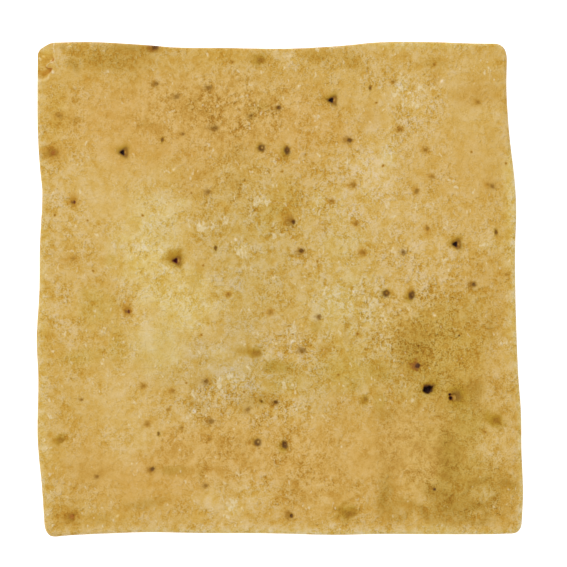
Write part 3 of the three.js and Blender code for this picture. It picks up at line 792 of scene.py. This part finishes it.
class Outline:
    """The tile's widest line. Points of it are asked for by side and share of the way along it."""

    def __init__(self):
        self.loop = smooth_loop(cad_ring(), LOOP_STEPS)
        closed = np.vstack([self.loop, self.loop[:1]])
        self.length = np.concatenate([[0.0], np.cumsum(np.hypot(*np.diff(closed, axis=0).T))])
        self.closed = closed
        corners = [(-1, -1), (1, -1), (1, 1), (-1, 1)]
        starts = [self.length[np.argmax(self.loop @ np.array(corner))] for corner in corners]
        total = self.length[-1]
        self.starts = [starts[0]] + [s + total * (s < starts[0]) for s in starts[1:]]
        self.starts.append(starts[0] + total)

    def side(self, index, count):
        """`count` evenly spaced points from one corner up to, and without, the next one."""
        share = np.arange(count) / count
        at = self.starts[index] + share * (self.starts[index + 1] - self.starts[index])
        at = at % self.length[-1]
        return np.stack([np.interp(at, self.length, self.closed[:, axis]) for axis in (0, 1)], axis=1)

    def ring(self, steps):
        """A ring of 8 * steps points."""
        return np.vstack([self.side(index, 2 * steps) for index in range(4)])


outline = Outline()


def ring_band(inner_start, outer_start, steps):
    """Quads between ring steps - 1 and ring `steps` of a face."""
    inner_count = max(1, 8 * (steps - 1))
    outer_count = 8 * steps
    quads = []
    for side in range(4):
        outer_corner = side * 2 * steps
        inner_corner = side * 2 * (steps - 1)
        quads.append([
            outer_start + (outer_corner - 1) % outer_count,
            outer_start + outer_corner,
            outer_start + (outer_corner + 1) % outer_count,
            inner_start + inner_corner % inner_count,
        ])
        for n in range(2 * (steps - 1)):
            quads.append([
                outer_start + (outer_corner + 1 + n) % outer_count,
                outer_start + (outer_corner + 2 + n) % outer_count,
                inner_start + (inner_corner + n + 1) % inner_count,
                inner_start + (inner_corner + n) % inner_count,
            ])
    return quads


def wall_band(upper_start, lower_start, count):
    """Quads between two rings of the same count, the first one above or inside the second."""
    after = [(n + 1) % count for n in range(count)]
    return [
        [lower_start + n, lower_start + after[n], upper_start + after[n], upper_start + n]
        for n in range(count)
    ]


def drip_height(x, y):
    """Height of the glaze's lower edge at (x, y) on the outline: a wandering line with runs."""
    slow = wander(x, y, 17.0, 61)
    quick = wander(x, y, 6.0, 62)
    ragged = wander(x, y, 2.4, 65)
    runs = smoothstep(0.2, 0.8, wander(x, y, 8.0, 63))
    height = DRIP_MIDDLE + DRIP_REACH * (0.6 * slow + 0.4 * quick + 0.15 * ragged - 1.1 * runs)
    return np.clip(height, LOWEST_DRIP, SEAM - SEAM_CLEARANCE)


def lean_at(z):
    """How far the CAD side has leaned in at a height."""
    return SIDE_LEAN * np.clip((FACE - EDGE_DROP - z) / (FACE - EDGE_DROP - FOOT_CHAMFER), 0.0, 1.0)


class Builder:
    """Collects rings of points for one closed piece."""

    def __init__(self):
        self.rings = []
        self.faces = []
        self.total = 0

    def add(self, points, z, **values):
        """Adds a ring of points with its height and its named values, and gives its first index."""
        start = self.total
        count = len(points)
        columns = {name: np.broadcast_to(value, count) for name, value in values.items()}
        self.rings.append((points, np.broadcast_to(z, count), columns))
        self.total += count
        return start

    def column(self, name):
        return np.concatenate([np.asarray(c.get(name, np.zeros(len(p)))) for p, _, c in self.rings])

    def positions(self):
        flat = np.vstack([points for points, _, _ in self.rings])
        return np.column_stack([flat, np.concatenate([z for _, z, _ in self.rings])])


def drawn_in(points, inset):
    """The outline's points moved towards the centre by `inset` millimetres of the half side."""
    return points * (1.0 - np.asarray(inset)[..., None] / HALF)


def glaze_rings():
    """The glaze coat before it is refined. `face` is 1 where a point's height follows the face, and
    `drop` is how far under the face it lies there; `inset` is how far in from the outline it is, and
    `down` how far down the sides."""
    coat = Builder()
    full = outline.ring(FACE_RINGS)
    face_edge = 1.0 - EDGE_INSET / HALF

    inner = coat.add(np.zeros((1, 2)), FACE, face=1.0, inset=HALF)
    for steps in range(1, FACE_RINGS + 1):
        share = face_edge * steps / FACE_RINGS
        outer = coat.add(outline.ring(steps) * share, FACE, face=1.0, inset=HALF * (1.0 - share))
        coat.faces += ring_band(inner, outer, steps)
        inner = outer

    def wall(points, z, **values):
        nonlocal inner
        outer = coat.add(points, z, **values)
        coat.faces += wall_band(inner, outer, len(points))
        inner = outer

    for step in range(1, EDGE_STEPS + 1):
        turn = math.radians(90.0 * step / EDGE_STEPS)
        inset = EDGE_INSET * (1.0 - math.sin(turn))
        wall(drawn_in(full, inset), FACE, face=1.0, drop=EDGE_DROP * (1.0 - math.cos(turn)), inset=inset)

    x, y = full.T
    edge = face_height(x, y) - EDGE_DROP
    end = drip_height(x, y)
    for share in COAT_LEVELS:
        z = edge + share * (end - edge)
        bead = BEAD * smoothstep(0.6, 0.95, share)
        unevenness = COAT_UNEVENNESS * wander(x + 3.0 * share, y + 40.0, 3.0, 64)
        wall(drawn_in(full, lean_at(z) + COAT_INSET - bead + unevenness), z, down=share)

    for share, height in LIP_RINGS:
        inset = lean_at(end) - LIP_PROUD + share * (GLAZE_THICKNESS + LIP_PROUD)
        wall(drawn_in(full, inset), end - LIP_HANG + height, down=1.0)
    wall(drawn_in(full, lean_at(SEAM) + GLAZE_THICKNESS), SEAM, down=1.0)
    coat.faces.append([inner + n for n in reversed(range(len(full)))])
    return coat


def refine(mesh_data, centres_and_reaches):
    """Halves the edges of the faces near each centre."""
    near_edges = set()
    columns = np.array([(v.co.x, v.co.y, v.co.z) for v in mesh_data.verts])
    for centre_x, centre_y, reach in centres_and_reaches:
        distance = np.hypot(columns[:, 0] - centre_x, columns[:, 1] - centre_y)
        found = np.nonzero((distance < reach) & (columns[:, 2] > FACE - EDGE_DROP))[0]
        for index in found:
            for face in mesh_data.verts[index].link_faces:
                near_edges.update(face.edges)
    bmesh.ops.subdivide_edges(mesh_data, edges=list(near_edges), cuts=1, use_grid_fill=True)
    mesh_data.verts.ensure_lookup_table()


VALUE_NAMES = ("face", "drop", "inset", "down")


def solid_object(name, builder, refinements=()):
    """A closed mesh object, in millimetres, with the builder's named values as point attributes."""
    data = bmesh.new()
    layers = {n: data.verts.layers.float.new(n) for n in VALUE_NAMES}
    values = {n: builder.column(n) for n in layers}
    for index, position in enumerate(builder.positions()):
        vertex = data.verts.new(position)
        for layer_name, layer in layers.items():
            vertex[layer] = float(values[layer_name][index])
    data.verts.ensure_lookup_table()
    for corners in builder.faces:
        data.faces.new([data.verts[c] for c in corners])
    for centres_and_reaches in refinements:
        refine(data, centres_and_reaches)
    wide = [face for face in data.faces if len(face.verts) > 4]
    bmesh.ops.triangulate(data, faces=wide)
    mesh = bpy.data.meshes.new(name)
    data.to_mesh(mesh)
    data.free()
    mesh.shade_smooth()
    piece = bpy.data.objects.new(name, mesh)
    bpy.context.scene.collection.objects.link(piece)
    return piece


def read_points(mesh):
    flat = np.empty(len(mesh.vertices) * 3)
    mesh.vertices.foreach_get("co", flat)
    return flat.reshape(-1, 3)


def take_values(mesh):
    """The builder's named values at the mesh's points. They are taken off the mesh."""
    values = {}
    for name in VALUE_NAMES:
        flat = np.empty(len(mesh.vertices))
        mesh.attributes[name].data.foreach_get("value", flat)
        values[name] = flat
        mesh.attributes.remove(mesh.attributes[name])
    return values


def write_values(mesh, name, values):
    attribute = mesh.attributes.new(name, "FLOAT", "POINT")
    attribute.data.foreach_set("value", np.asarray(values, np.float32))


def write_colours(mesh, name, colours):
    attribute = mesh.attributes.new(name, "FLOAT_COLOR", "POINT")
    opaque_colours = np.column_stack([colours, np.ones(len(colours))])
    attribute.data.foreach_set("color", opaque_colours.astype(np.float32).ravel())


def refined_places():
    """Where the mesh is made finer, as one list for each of two passes."""
    passes = []
    for margin, chip_margin in zip(FINE_MARGINS, CHIP_MARGINS):
        places = [(pit.x, pit.y, pit.size * PIT_KINDS[pit.kind].lip + margin) for pit in PITS]
        places += [(x, y, CRYSTAL_REACH + margin) for x, y in CRYSTALS]
        passes.append(places + [(*CHIP_CENTRE, CHIP_DOWN + chip_margin)])
    return passes


BROWN_CHIP_LINE = (0.94, 0.04, 0.8)  # where in chip_share it is, its width there and its strength
# the cream line on the ridge, partly a painted highlight
PALE_CHIP_RIDGE_AND_HIGHLIGHT = (1.02, 0.05, 0.7)
# strength of the painted light along the right and front edges
EDGE_LIGHT_STRENGTH = 0.75
# bronze on the rim is partly painted shade, laid where the edge turns down
RIM_BRONZE_AND_SHADE = (0.12, 0.4)  # how strong it is everywhere, and how much more in its streaks
SIDE_BRONZE = (0.25, 0.5)  # the same down the sides


def stain_and_light_chip_line(tint, x, y):
    """Lays the brown line inside the chip's edge, in stretches, and the cream one on its ridge, which is
    partly paler broken glaze and partly a painted highlight.
    """
    share = chip_share(x, y)
    stretches = smoothstep(-0.3, 0.5, wander(x, y, 1.5, 23)) * smoothstep(44.2, 45.2, y)
    paint(tint, line_weight(share, *BROWN_CHIP_LINE) * stretches, "sienna")
    # Cream along the ridge: partly paler broken glaze, partly a painted highlight.
    paint(tint, line_weight(share, *PALE_CHIP_RIDGE_AND_HIGHLIGHT) * (1.0 - 0.6 * stretches), "cream")


def light_shade_and_stain_edge(tint, x, y, from_edge, drop, on_side):
    """Lays a pale band of painted light along the right and front edges, which face away from the
    light, then bronze streaks on the rim, partly painted shade where the edge turns down, and,
    stronger, down the sides. `drop` is how far under the face the rim is."""
    # Painted light: a paler band along the right and front edges, which face away from the key light.
    edge_light = smoothstep(0.0, 1.0, (x - y) / HALF) * (1.0 - smoothstep(0.3, 1.3, from_edge))
    paint(tint, EDGE_LIGHT_STRENGTH * edge_light, "butter")
    # Bronze on the rim: partly painted shade, as it grows where the edge turns down, and partly the glaze's
    # own streaks.
    rim = smoothstep(0.3 * EDGE_DROP, EDGE_DROP, drop)
    streaks = smoothstep(0.0, 0.6, wander(x, y, 6.0, 24))
    on_rim, down_side = (least + more * streaks for least, more in (RIM_BRONZE_AND_SHADE, SIDE_BRONZE))
    paint(tint, rim * on_rim + on_side * down_side, "bronze")


def make_glaze_coat():
    piece = solid_object("glaze_coat", glaze_rings(), refined_places())
    mesh = piece.data
    x, y, z = read_points(mesh).T
    values = take_values(mesh)
    on_face = values["face"] > 0.5
    drop = values["drop"]
    down = values["down"]

    z = np.where(on_face, chipped(x, y, face_height(x, y) - drop), z)
    mesh.vertices.foreach_set("co", (np.column_stack([x, y, z]) * MM).ravel())

    from_edge = values["inset"] + np.maximum(WIDEST - z, 0.0) * (down > 0.0)
    x, y = unfolded(x, y, z)
    tint = face_tint(x, y)
    stain_and_light_chip_line(tint, x, y)
    light_shade_and_stain_edge(tint, x, y, from_edge, drop * on_face, down > 0.0)
    write_colours(mesh, "tint", np.maximum(linear(tint) - SHEEN, DARK_SHARE * linear(tint)))
    write_values(mesh, "grain", grain(x, y))
    write_values(mesh, "browning", browning(x, y))
    write_values(mesh, "depth", glaze_depth(x, y, from_edge) + side_depth(down))
    write_values(mesh, "flecks", fleck_density(x, y))
    return piece


def make_clay_body():
    body = Builder()
    full = outline.ring(BACK_RINGS)
    x, y = full.T
    inner = body.add(np.zeros((1, 2)), BACK_HOLLOW)
    foot_edge = 1.0 - (SIDE_LEAN + FOOT_CHAMFER) / HALF
    for steps in range(1, BACK_RINGS + 1):
        points = outline.ring(steps) * foot_edge * steps / BACK_RINGS
        px, py = points.T
        hollow = BACK_HOLLOW * (1.0 + wander(px, py, 8.0, 71) * (steps < BACK_RINGS))
        outer = body.add(points, hollow * (1.0 - smoothstep(0.97, 1.0, steps / BACK_RINGS)))
        body.faces += [quad[::-1] for quad in ring_band(inner, outer, steps)]
        inner = outer
    end = drip_height(x, y)
    levels = [FOOT_CHAMFER + share * (end - FOOT_CHAMFER) for share in CLAY_LEVELS]
    rows = [(SIDE_LEAN + FOOT_WEAR, FOOT_WEAR), (SIDE_LEAN, FOOT_CHAMFER)]
    rows += [(lean_at(z) + ROOM_FOR_GLAZE * z / SEAM, z) for z in (*levels, SEAM - SEAM_GAP)]
    for inset, z in rows:
        sand = SAND_HEIGHT * wander(x + 2.0 * z, y + 3.0 * z, 1.8, 72)
        rough = sand + CLAY_WAVE * wander(x, y, 7.0, 73)
        outer = body.add(drawn_in(full, inset + rough), z)
        body.faces += [quad[::-1] for quad in wall_band(inner, outer, len(full))]
        inner = outer
    body.faces.append([inner + n for n in range(len(full))])
    piece = solid_object("clay_body", body)
    points = read_points(piece.data)
    piece.data.vertices.foreach_set("co", (points * MM).ravel())
    take_values(piece.data)
    x, y, z = points.T
    write_values(piece.data, "under_glaze", drip_height(x, y) - z)
    return piece


# ======== Materials ========


SLANT = math.radians(35.0)  # of the glaze's stretched grain


class Nodes:
    """A short way to write a material's node tree. Most methods give an output socket."""

    def __init__(self, name):
        self.material = bpy.data.materials.new(name)
        self.material.use_nodes = True
        self.tree = self.material.node_tree
        self.shader = self.tree.nodes["Principled BSDF"]
        self.place = self.new("TexCoord").outputs["Object"]

    def new(self, kind):
        return self.tree.nodes.new("ShaderNode" + kind)

    def feed(self, socket, value):
        if isinstance(value, bpy.types.NodeSocket):
            self.tree.links.new(value, socket)
        else:
            socket.default_value = value

    def shade(self, name, value):
        """Sets an input of the material's own shader."""
        self.feed(self.shader.inputs[name], value)

    def math(self, operation, *values, clamp=False):
        node = self.new("Math")
        node.operation = operation
        node.use_clamp = clamp
        for socket, value in zip(node.inputs, values):
            self.feed(socket, value)
        return node.outputs[0]

    def add(self, *values):
        return reduce(partial(self.math, "ADD"), values)

    def times(self, *values):
        return reduce(partial(self.math, "MULTIPLY"), values)

    def weighted(self, values, weights):
        """The sum of the values, each multiplied by its weight."""
        return self.add(*(self.times(value, weight) for value, weight in zip(values, weights)))

    def ramp(self, value, low, high, to_low=0.0, to_high=1.0):
        """value, smoothly taken from the range low..high to the range to_low..to_high."""
        node = self.new("MapRange")
        node.interpolation_type = "SMOOTHSTEP"
        for socket, number in zip(node.inputs, (value, low, high, to_low, to_high)):
            self.feed(socket, number)
        return node.outputs[0]

    def noise(self, size, detail=0.0, stretch=None):
        """Noise with bumps about `size` millimetres apart, centred on 0 and mostly within -1..1. With
        `stretch`, less than 1, they are that much longer along a slant than across it."""
        node = self.new("TexNoise")
        node.inputs["Scale"].default_value = 1.0 / (size * MM)
        node.inputs["Detail"].default_value = detail
        place = self.place
        if stretch:
            scaled = self.new("Mapping")
            scaled.inputs["Scale"].default_value = (1.0, stretch, 1.0)
            scaled.inputs["Rotation"].default_value = (0.0, 0.0, SLANT)
            self.feed(scaled.inputs["Vector"], place)
            place = scaled.outputs[0]
        self.feed(node.inputs["Vector"], place)
        return self.times(self.math("SUBTRACT", node.outputs["Fac"], 0.5), 4.0)

    def specks(self, spacing, radius, share):
        """1 inside small round specks, scattered about `spacing` millimetres apart; only that
        share of the places holds one. share may be a socket."""
        node = self.new("TexVoronoi")
        node.inputs["Scale"].default_value = 1.0 / (spacing * MM)
        node.inputs["Randomness"].default_value = 1.0
        self.feed(node.inputs["Vector"], self.place)
        chance, largeness, _ = self.channels(node.outputs["Color"])
        chosen = self.math("LESS_THAN", chance, share)
        size = self.ramp(largeness, 0.0, 1.0, 0.5 * radius / spacing, radius / spacing)
        inside = self.math("SUBTRACT", 1.0, self.math("DIVIDE", node.outputs["Distance"], size), clamp=True)
        return self.times(chosen, self.ramp(inside, 0.0, 0.6))

    def channels(self, colour):
        """A colour's red, green and blue."""
        node = self.new("SeparateColor")
        self.feed(node.inputs[0], colour)
        return list(node.outputs)

    def attribute(self, name, output="Fac"):
        node = self.new("Attribute")
        node.attribute_name = name
        return node.outputs[output]

    def blend(self, amount, first, second):
        node = self.new("Mix")
        node.data_type = "RGBA"
        self.feed(node.inputs[0], amount)
        self.feed(node.inputs[6], first)
        self.feed(node.inputs[7], second)
        return node.outputs[2]

    def bump(self, height, depth, before=None):
        """A bump of `depth` millimetres for a height of 0 to 1."""
        node = self.new("Bump")
        node.inputs["Distance"].default_value = depth * MM
        self.feed(node.inputs["Height"], height)
        if before is not None:
            self.feed(node.inputs["Normal"], before)
        return node.outputs[0]


def opaque(colour):
    return (*linear(colour), 1.0)


FLECK_COLOUR = (226, 208, 164)
AMBER_GRAIN_COLOUR = (182, 140, 52)
CLAY_COLOUR = (206, 178, 142)
DARKER_CLAY_COLOUR = (188, 154, 116)
SCORCH_COLOUR = (168, 116, 72)  # of clay just under the glaze's lower end
SAND_COLOUR = (156, 118, 84)
PALE_SPECK_COLOUR = (228, 208, 180)
GROG_COLOUR = (122, 84, 58)

THINNING = (0.026, 0.063, 0.25)  # how fast red, green and blue fall off as the glaze gets thicker
BROWNING = (0.03, 0.031, 0.0)  # how much faster they do where the browning is 1
THINNEST = 3.5  # how much thinner than usual the glaze can be, on the scale of its depth
GRAIN_BUMP = 0.122  # depth of the glaze's grain
CLAY_BUMP = 0.1  # depth of the clay's


def thinned(nodes, tint, thickness, browning):
    """The tint seen through more or less glaze: each colour falls off at its own rate."""
    thin = nodes.math("EXPONENT", nodes.times(nodes.math("MINIMUM", thickness, 0.0), 1.0 / THINNEST))
    thick = nodes.math("MAXIMUM", thickness, 0.0)
    thickness = nodes.add(thick, nodes.times(nodes.math("SUBTRACT", thin, 1.0), THINNEST))
    joined = nodes.new("CombineColor")
    for socket, channel, rate, browner in zip(joined.inputs, nodes.channels(tint), THINNING, BROWNING):
        fall = nodes.add(nodes.times(browning, -browner), -rate)
        passed = nodes.math("EXPONENT", nodes.times(thickness, fall))
        nodes.feed(socket, nodes.times(channel, passed))
    return joined.outputs[0]


def glaze_material():
    nodes = Nodes("satin ochre glaze")
    patchy = nodes.ramp(nodes.noise(2.6), -1.2, 1.4, 0.55, 1.6)
    granular = nodes.times(nodes.attribute("grain"), patchy)

    coarse = nodes.noise(1.1, stretch=0.75)
    fine = nodes.noise(0.62, stretch=0.75)
    finest = nodes.noise(0.34)
    powder = nodes.noise(0.2)
    texture = nodes.weighted((coarse, fine, finest, powder), (1.0, 1.5, 1.7, 1.1))
    thickness = nodes.add(nodes.attribute("depth"), nodes.times(texture, granular))
    colour = thinned(nodes, nodes.attribute("tint", "Color"), thickness, nodes.attribute("browning"))

    crowding = nodes.times(nodes.math("SUBTRACT", nodes.attribute("flecks"), 0.5), 1.6)
    clumps = nodes.add(nodes.noise(1.7), nodes.times(nodes.noise(0.5, stretch=0.6), 0.9), crowding)
    colour = nodes.blend(nodes.ramp(clumps, 0.4, 1.4, 0.0, 0.6), colour, opaque(FLECK_COLOUR))
    amber = nodes.add(nodes.times(nodes.noise(1.0), 0.9), nodes.times(nodes.noise(0.45), 0.7))
    clear_of_pits = nodes.ramp(nodes.attribute("flecks"), -0.8, -0.1)
    amber = nodes.times(nodes.ramp(amber, 0.6, 1.3, 0.0, 0.25), granular, clear_of_pits)
    colour = nodes.blend(amber, colour, opaque(AMBER_GRAIN_COLOUR))
    nodes.shade("Base Color", colour)

    nodes.shade("Specular IOR Level", 0.2)
    nodes.shade("Roughness", nodes.add(0.46, nodes.times(granular, 0.06)))

    heights = nodes.weighted((coarse, fine, finest, powder), (-0.1, -0.5, -0.35, -0.15))
    rough = nodes.add(0.5, nodes.times(granular, 0.5))
    nodes.shade("Normal", nodes.bump(nodes.times(heights, rough), GRAIN_BUMP))
    return nodes.material


def clay_material():
    nodes = Nodes("bare fired clay")
    coarse = nodes.noise(9.0, 3.0)
    sand = nodes.noise(0.7, 2.0)
    colour = nodes.blend(nodes.ramp(coarse, -1.0, 1.0), opaque(CLAY_COLOUR), opaque(DARKER_CLAY_COLOUR))
    scorched = nodes.add(nodes.attribute("under_glaze"), nodes.times(coarse, 0.3), nodes.times(sand, 0.2))
    colour = nodes.blend(nodes.ramp(scorched, 0.0, 1.3, 0.6, 0.0), colour, opaque(SCORCH_COLOUR))
    colour = nodes.blend(nodes.ramp(sand, 0.0, 1.2, 0.0, 0.45), colour, opaque(SAND_COLOUR))
    colour = nodes.blend(nodes.times(nodes.specks(1.3, 0.3, 0.3), 0.7), colour, opaque(PALE_SPECK_COLOUR))
    grog = nodes.specks(1.9, 0.4, 0.35)
    colour = nodes.blend(nodes.times(grog, 0.75), colour, opaque(GROG_COLOUR))
    nodes.shade("Base Color", colour)
    nodes.shade("Roughness", nodes.ramp(sand, -1.0, 1.0, 0.8, 0.95))
    nodes.shade("Normal", nodes.bump(nodes.add(sand, grog), CLAY_BUMP))
    return nodes.material


# ======== Stage ========

VIEW_WIDTH = 117.5  # how much the picture spans, at the level of the tile's widest line
VIEW_CENTRE = (0.75, 1.18)
CAMERA_DISTANCE = 900.0  # from that level
FLOOR_SIDE = 6.0  # metres
FLOOR_GREY = 0.55
FLOOR_GLOW = 0.9
LIGHT_DISTANCE = 2.5  # metres
WORLD_STRENGTH = 0.57


def make_stage():
    bpy.ops.mesh.primitive_plane_add(size=FLOOR_SIDE)
    floor = bpy.context.object
    floor.name = "floor"
    nodes = Nodes("pale floor")
    nodes.shade("Base Color", (FLOOR_GREY, FLOOR_GREY, FLOOR_GREY, 1.0))
    nodes.shade("Roughness", 1.0)
    nodes.shade("Emission Color", (1.0, 1.0, 1.0, 1.0))
    nodes.shade("Emission Strength", FLOOR_GLOW)
    floor.data.materials.append(nodes.material)


def make_light(name, azimuth, elevation, size, power):
    """A soft square light that looks at the tile. Azimuth is in degrees from +Y towards +X, size in
    metres and power in watts."""
    light = bpy.data.lights.new(name, "AREA")
    light.size = size
    light.energy = power
    thing = bpy.data.objects.new(name, light)
    a = math.radians(azimuth)
    e = math.radians(elevation)
    direction = Vector((math.sin(a) * math.cos(e), math.cos(a) * math.cos(e), math.sin(e)))
    thing.location = direction * LIGHT_DISTANCE
    thing.rotation_euler = (-direction).to_track_quat("-Z", "Y").to_euler()
    thing.visible_camera = False
    bpy.context.scene.collection.objects.link(thing)


def make_lights():
    make_light("key light", azimuth=-35, elevation=52, size=1.4, power=33.8)
    make_light("fill light", azimuth=150, elevation=50, size=2.2, power=12.0)
    world = bpy.data.worlds.new("plain world")
    world.use_nodes = True
    world.node_tree.nodes["Background"].inputs["Color"].default_value = (1.0, 1.0, 1.0, 1.0)
    world.node_tree.nodes["Background"].inputs["Strength"].default_value = WORLD_STRENGTH
    bpy.context.scene.world = world


def make_camera():
    lens = bpy.data.cameras.new("camera")
    lens.sensor_width = 36.0
    lens.lens = lens.sensor_width * CAMERA_DISTANCE / VIEW_WIDTH
    lens.clip_start = 0.01
    camera = bpy.data.objects.new("camera", lens)
    camera.location = (VIEW_CENTRE[0] * MM, VIEW_CENTRE[1] * MM, (WIDEST + CAMERA_DISTANCE) * MM)
    bpy.context.scene.collection.objects.link(camera)
    bpy.context.scene.camera = camera


def main():
    coat = make_glaze_coat()
    coat.data.materials.append(glaze_material())
    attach(coat, "root")
    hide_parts("tile")

    body = make_clay_body()
    body.data.materials.append(clay_material())
    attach(body, "root")
    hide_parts("tile")

    make_stage()
    make_lights()
    make_camera()
    bpy.context.scene.view_settings.view_transform = "Standard"


main()
